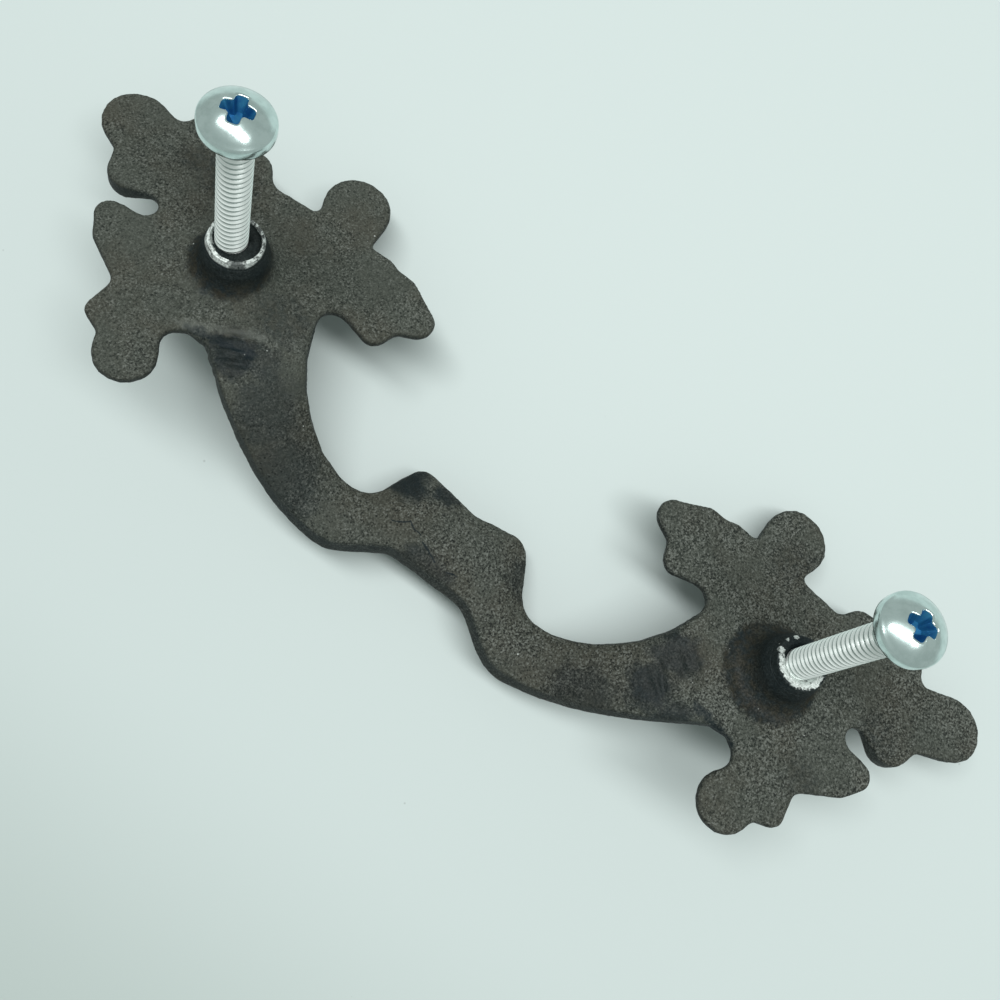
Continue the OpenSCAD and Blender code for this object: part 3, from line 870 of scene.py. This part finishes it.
# One tooth, as (share of the pitch, depth below the crest in millimetres)
TOOTH = [(0.0, 0.46), (0.34, 0.03), (0.39, 0.0), (0.52, 0.0), (0.57, 0.03), (0.93, 0.46)]
NECK_R = 1.8 * MM
NECK_L = 2.5 * MM
HEAD_H = 3.1 * MM
screw_low, screw_high = screw_boxes["right"]
HEAD_R = (screw_high.x - screw_low.x) / 2
SHANK_L = screw_high.z - screw_low.z - HEAD_H
TURN_STEPS = 40
print("The shank is", round(SHANK_L / MM, 2), "mm long below the head")


def add_thread(bm, bottom, top):
    """A thread from bottom to top, with its ends cut level and closed."""
    turns = math.ceil((top - bottom) / PITCH) + 2
    start = bottom - 1.5 * PITCH
    points = []
    for turn in range(turns):
        for share, depth in TOOTH:
            points.append((THREAD_R - depth * MM, start + (turn + share) * PITCH))
    points.append((THREAD_R - TOOTH[0][1] * MM, start + turns * PITCH))
    spin_profile(bm, points, TURN_STEPS, PITCH)
    for height, keep_below in ((top, True), (bottom, False)):
        bmesh.ops.edgeloop_fill(bm, edges=cut_level(bm, height, keep_below))
    bmesh.ops.recalc_face_normals(bm, faces=bm.faces)


# %% [markdown]
# ## Heads
# A pan head has a straight band, a rounded edge and a low dome that is part of a ball. The cross is
# cut by a tapered cutter with rounded corners, as the punch that makes it has, and its edges are
# rounded too, which is why they catch the light.

# %% Shape the head
DOME_EDGE_R = 3.85 * MM
DOME_H = 1.65 * MM
DOME_BALL_R = (DOME_EDGE_R ** 2 + DOME_H ** 2) / (2 * DOME_H)
DOME_STEPS = 12
HEAD_SPIN_STEPS = 56
# How far the neck reaches down into the thread
NECK_OVERLAP = 0.2 * MM
# The round from the neck to the head, as (distance out from the neck, height) in millimetres
NECK_ROUND = [(0, -0.5), (0.06, -0.2), (0.2, -0.05), (0.4, 0)]
# The head's edge up to the dome, as (distance in from the band, height) in millimetres
BAND = [(0.35, 0), (0.14, 0.05), (0.03, 0.18), (0, 0.4), (0.01, 1.0), (0.04, 1.2), (0.11, 1.35)]
print("The dome is part of a ball of radius", round(DOME_BALL_R / MM, 2), "mm")


def dome_height(reach):
    """Height of the dome at a distance from the head's axis."""
    return HEAD_H - DOME_BALL_R + math.sqrt(DOME_BALL_R ** 2 - reach ** 2)


def add_head(bm):
    """The neck, the head's underside, band and dome, from the underside at height 0."""
    foot = -NECK_L - NECK_OVERLAP
    points = [(0, foot), (NECK_R, foot)]
    points += [(NECK_R + out * MM, height * MM) for out, height in NECK_ROUND]
    points += [(HEAD_R - inset * MM, height * MM) for inset, height in BAND]
    edge_angle = math.asin(DOME_EDGE_R / DOME_BALL_R)
    for step in range(DOME_STEPS, 0, -1):
        reach = DOME_BALL_R * math.sin(edge_angle * step / DOME_STEPS)
        points.append((reach, dome_height(reach)))
    spin_profile(bm, points + [(0, HEAD_H)], HEAD_SPIN_STEPS)
    bmesh.ops.recalc_face_normals(bm, faces=bm.faces)


# %% Shape the cross
CROSS_W = 4.3 * MM
CROSS_SLOT = 1.55 * MM
CROSS_DEPTH = 1.9 * MM
CROSS_TOP = 1.0 * MM
CORNER_R = 0.42 * MM
EDGE_R = 0.14 * MM
# Width of the cutter at its foot and its top, as shares of the width between them
FOOT_TAPER = 0.42
TOP_TAPER = 1.2
# The cross lies within this of the axis, its edge this close to the dome, its walls this far below
CROSS_REACH = 0.6 * CROSS_W
AT_DOME = 0.06 * MM
BELOW_DOME = 0.13 * MM
EDGE_ANGLE = math.radians(30)


def cross_cutter():
    """A square bar with an arm drawn out of each side, rounded corners and a taper."""
    bm = bmesh.new()
    bmesh.ops.create_cube(bm, size=CROSS_SLOT)
    sides = [face for face in bm.faces if abs(face.normal.z) < 0.5]
    arms = bmesh.ops.extrude_discrete_faces(bm, faces=sides)["faces"]
    for face in arms:
        shift = face.normal * (CROSS_W - CROSS_SLOT) / 2
        bmesh.ops.translate(bm, verts=face.verts, vec=shift)
    heights = {edge: abs(edge.verts[0].co.z - edge.verts[1].co.z) for edge in bm.edges}
    upright = [edge for edge, height in heights.items() if height > CROSS_SLOT / 2]
    bmesh.ops.bevel(
        bm, geom=upright, offset=CORNER_R, offset_type="OFFSET", segments=3, profile=0.5,
        affect="EDGES", material=-1, clamp_overlap=True,
    )
    tall = (CROSS_DEPTH + CROSS_TOP) / CROSS_SLOT
    bmesh.ops.scale(bm, verts=bm.verts, vec=(1, 1, tall))
    bmesh.ops.translate(bm, verts=bm.verts, vec=(0, 0, HEAD_H + (CROSS_TOP - CROSS_DEPTH) / 2))
    low = [vert for vert in bm.verts if vert.co.z < HEAD_H]
    high = [vert for vert in bm.verts if vert.co.z > HEAD_H]
    bmesh.ops.scale(bm, verts=low, vec=(FOOT_TAPER, FOOT_TAPER, 1))
    bmesh.ops.scale(bm, verts=high, vec=(TOP_TAPER, TOP_TAPER, 1))
    return new_piece("cross_cutter", bm)


def round_cross_edges(piece):
    """Round the edges of the cross and paint its walls."""
    bm = bmesh.new()
    bm.from_mesh(piece.data)
    bmesh.ops.remove_doubles(bm, verts=bm.verts, dist=MERGE_GAP)
    edges = []
    for edge in bm.edges:
        middle = (edge.verts[0].co + edge.verts[1].co) / 2
        reach = middle.xy.length
        at_rim = reach < CROSS_REACH and abs(middle.z - dome_height(reach)) < AT_DOME
        if at_rim and len(edge.link_faces) == 2 and edge.calc_face_angle() > EDGE_ANGLE:
            edges.append(edge)
    bmesh.ops.bevel(
        bm, geom=edges, offset=EDGE_R, offset_type="OFFSET", segments=3, profile=0.5,
        affect="EDGES", material=-1, clamp_overlap=False,
    )
    for face in bm.faces:
        centre = face.calc_center_median()
        reach = centre.xy.length
        face.smooth = True
        in_cross = centre.z > 0.3 * HEAD_H and reach < CROSS_REACH
        if in_cross and centre.z < dome_height(reach) - BELOW_DOME:
            face.material_index = screw_finishes.index(blue_zinc)
    bm.to_mesh(piece.data)
    bm.free()


# %% Put each screw together
# Turn of each screw's cross, in degrees, and the angle from which an edge stays sharp
SCREW_TURNS = {"left": 20, "right": 5}
SHARP_ANGLE = math.radians(38)


def make_screw(side):
    """A whole screw, standing in its boss."""
    low, high = screw_boxes[side]
    bm = bmesh.new()
    add_head(bm)
    screw = new_piece(side + "_zinc_screw", bm)
    boolean(screw, cross_cutter(), "DIFFERENCE")
    round_cross_edges(screw)
    bm = bmesh.new()
    add_thread(bm, -SHANK_L, -NECK_L)
    shank = new_piece("shank", bm)
    for polygon in shank.data.polygons:
        polygon.use_smooth = True
        polygon.material_index = screw_finishes.index(thread_zinc)
    for material in screw_finishes:
        screw.data.materials.append(material)
        shank.data.materials.append(material)
    boolean(screw, shank, "UNION")
    place_it = Matrix.Translation(((low.x + high.x) / 2, (low.y + high.y) / 2, low.z + SHANK_L))
    screw.data.transform(place_it @ Matrix.Rotation(math.radians(SCREW_TURNS[side]), 4, "Z"))
    screw.data.set_sharp_from_angle(angle=SHARP_ANGLE)
    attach(screw, "root")
    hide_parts(side + "_screw")
    print("The", side, "screw has", len(screw.data.polygons), "faces")


for side in SIDES:
    make_screw(side)

# %% [markdown]
# ## Table and light
# The handle rests on its grip and on the tips of its upper lobes, so the table lies square to the
# camera and touches the lowest of them. It is a flat, pale sheet that fades out far from the handle,
# and it can't be seen from behind, so no view of the handle is blocked. One long lamp overhead, set
# askew and a little to the upper right, gives the soft shadow and the bright mark on each head. The
# room is paler where it is seen, straight or in the zinc, than where it lights the iron.

# %% Lay the table
TABLE_COLOUR = (0.625, 0.710, 0.693)
TABLE_PAINTED_SHADE = (0.48, 0.56, 0.53)
TABLE_SPECK = (0.36, 0.41, 0.39)
# Side of the square sheet in metres
TABLE_SIZE = 1.2
# Painted shade darkens the sheet towards this heading, between these distances in millimetres
SHADE_TOWARDS = (-0.6, -0.8)
SHADE_REACH = (48.0, 108.0)
# Distances in millimetres between which the sheet fades out
FADE_REACH = (170.0, 420.0)


def mix_table():
    """A pale, matt sheet with painted shade towards the lower left, clear far from the handle and from
    behind.
    """
    material, tree, shader, point = new_material("table_top")
    axes = place(tree, "ShaderNodeSeparateXYZ", None, {"Vector": point}).outputs
    along_y = maths(tree, "MULTIPLY", axes["Y"], SHADE_TOWARDS[1])
    lower_left = maths(tree, "MULTIPLY_ADD", axes["X"], SHADE_TOWARDS[0], along_y)
    # Painted shade, darker towards the lower left
    painted_shade = ramp(tree, lower_left, *SHADE_REACH, 0.0, 0.8)
    colour = mix_colour(tree, painted_shade, TABLE_COLOUR, TABLE_PAINTED_SHADE)
    specks = spots(tree, point, size=7.0, smallest=-0.5, largest=0.035, soft=0.02)
    colour = mix_colour(tree, maths(tree, "MULTIPLY", specks, 0.5), colour, TABLE_SPECK)
    tree.links.new(colour, shader.inputs["Base Color"])
    shader.inputs["Roughness"].default_value = 0.6
    shader.inputs["Specular IOR Level"].default_value = 0.3
    fade = ramp(tree, length_of(tree, point), *FADE_REACH)
    behind = place(tree, "ShaderNodeNewGeometry").outputs["Backfacing"]
    clear = place(tree, "ShaderNodeBsdfTransparent")
    hidden = maths(tree, "MAXIMUM", fade, behind)
    inputs = {0: hidden, 1: shader.outputs["BSDF"], 2: clear.outputs["BSDF"]}
    mixed = place(tree, "ShaderNodeMixShader", None, inputs)
    output = next(node for node in tree.nodes if node.type == "OUTPUT_MATERIAL")
    tree.links.new(mixed.outputs[0], output.inputs["Surface"])
    return material


table_distance = max(-vertex.co.dot(to_camera) for vertex in casting.data.vertices)
bm = bmesh.new()
bmesh.ops.create_grid(bm, x_segments=1, y_segments=1, size=TABLE_SIZE / 2)
table = new_piece("table", bm)
table.location = -to_camera * table_distance
table.rotation_euler = CAMERA_TURN
table.data.materials.append(mix_table())
print("The table lies", round(table_distance / MM, 2), "mm below the middle of the screws")


# %% Light the scene
def add_lamp(name, place_seen, along, size, watts):
    """An area lamp that faces the handle, its place and long side given as the camera sees them."""
    data = bpy.data.lights.new(name, "AREA")
    data.shape = "RECTANGLE"
    data.size, data.size_y = size
    data.energy = watts
    lamp = bpy.data.objects.new(name, data)
    right, top, towards = place_seen
    lamp.location = to_right * right + to_top * top + to_camera * towards
    back = lamp.location.normalized()
    side = to_right * along[0] + to_top * along[1]
    side = (side - back * side.dot(back)).normalized()
    lamp.rotation_euler = Matrix((side, back.cross(side), back)).transposed().to_euler()
    bpy.context.scene.collection.objects.link(lamp)
    print("The lamp", name, "hangs", round(lamp.location.length, 2), "m from the handle")


add_lamp("long_window", place_seen=(0.08, 0.09, 0.6), along=(0.82, -0.57), size=(0.8, 0.13), watts=3.95)

# %% Surround it with a pale room
ROOM_COLOUR = (0.62, 0.68, 0.66, 1)
# The room's strength as a light, and as it is seen, straight or mirrored
ROOM_LIGHT = 0.43
ROOM_SEEN = 0.72
world = bpy.data.worlds.new("pale_room")
world.use_nodes = True
world_tree = world.node_tree
background = world_tree.nodes["Background"]
background.inputs["Color"].default_value = ROOM_COLOUR
rays = place(world_tree, "ShaderNodeLightPath").outputs
seen = maths(world_tree, "MAXIMUM", rays["Is Camera Ray"], rays["Is Glossy Ray"])
seen = maths(world_tree, "MAXIMUM", seen, rays["Is Transmission Ray"])
room = mix_value(world_tree, seen, ROOM_LIGHT, ROOM_SEEN)
world_tree.links.new(room, background.inputs["Strength"])
bpy.context.scene.world = world
# The plain view shows each colour about as it is written
bpy.context.scene.view_settings.view_transform = "Standard"
